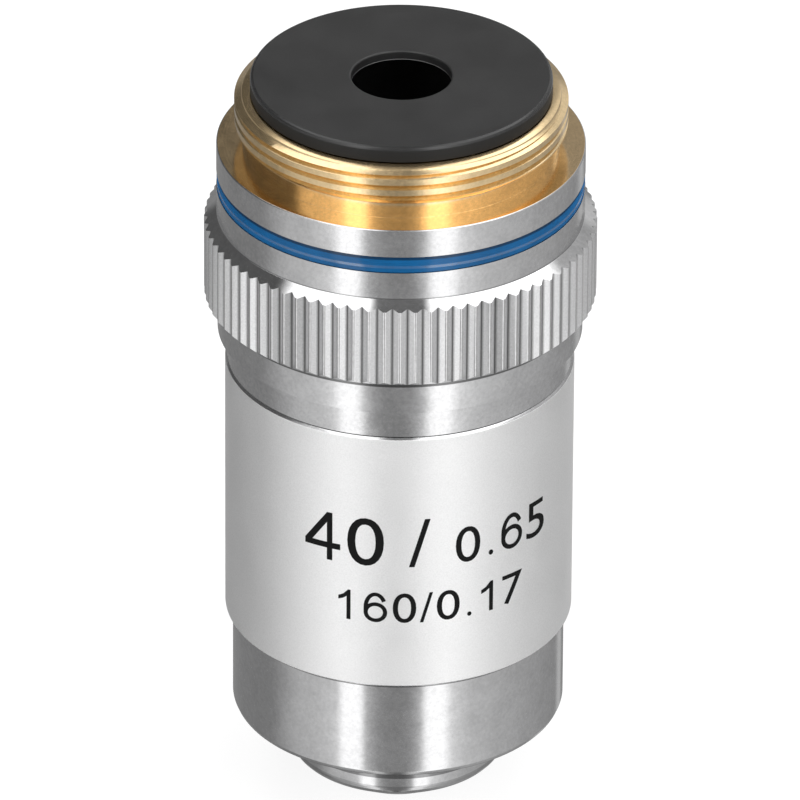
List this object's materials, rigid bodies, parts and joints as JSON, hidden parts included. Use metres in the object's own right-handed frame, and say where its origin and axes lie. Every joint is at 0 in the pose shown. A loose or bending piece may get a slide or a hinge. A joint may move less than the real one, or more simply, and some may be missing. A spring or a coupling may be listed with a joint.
{
  "type": "microscope objective",
  "caption": "Turned microscope objective with a screw mount, blue ring, knurled grip, satin sleeve and a sprung nose that slides back.",
  "frame": {"origin": "centre of the front rim, on the optical axis", "axes": "+Z along the optical axis from the front rim towards the mounting thread; -Y is the side with the numbers, which faces the viewer"},
  "size_m": [0.024, 0.024, 0.049],
  "materials": {
    "bright_chrome": "bright plated, fine turned marks",
    "polished_chrome": "polished plate",
    "satin_chrome": "fine blasted satin plate",
    "bare_brass": "freshly turned, unplated",
    "blue_enamel": "glossy filled enamel",
    "matt_black": "matt black",
    "steel": "plain bright steel",
    "crown_glass": "polished and coated",
    "flint_glass": "polished and coated"
  },
  "bodies": {
    "housing": {"mount_collar": "bright_chrome", "colour_band": "blue_enamel", "outer_sleeve": "satin_chrome", "guide_barrel": "polished_chrome", "key_pin": "steel", "rear_stop": "matt_black", "spring_retainer": "bare_brass"},
    "lens_barrel": {"lens_tube": "bare_brass", "nose": "polished_chrome", "front_cell": "steel", "front_lens": "crown_glass", "middle_cell": "matt_black", "middle_crown": "crown_glass", "middle_flint": "flint_glass", "middle_lens_ring": "matt_black", "spacer_ring": "matt_black", "rear_cell": "matt_black", "rear_crown": "crown_glass", "rear_flint": "flint_glass", "rear_lens_ring": "matt_black", "diaphragm": "matt_black", "lock_ring": "bare_brass", "spring": "steel"}
  },
  "joints": [
    {"name": "nose_slide", "type": "slide", "parent": "housing", "child": "lens_barrel", "axis": [0, 0, 1], "range_m": [0, 0.0025], "stiffness_N_per_m": 390, "springref_m": -0.006, "deforming": ["spring"]}
  ]
}
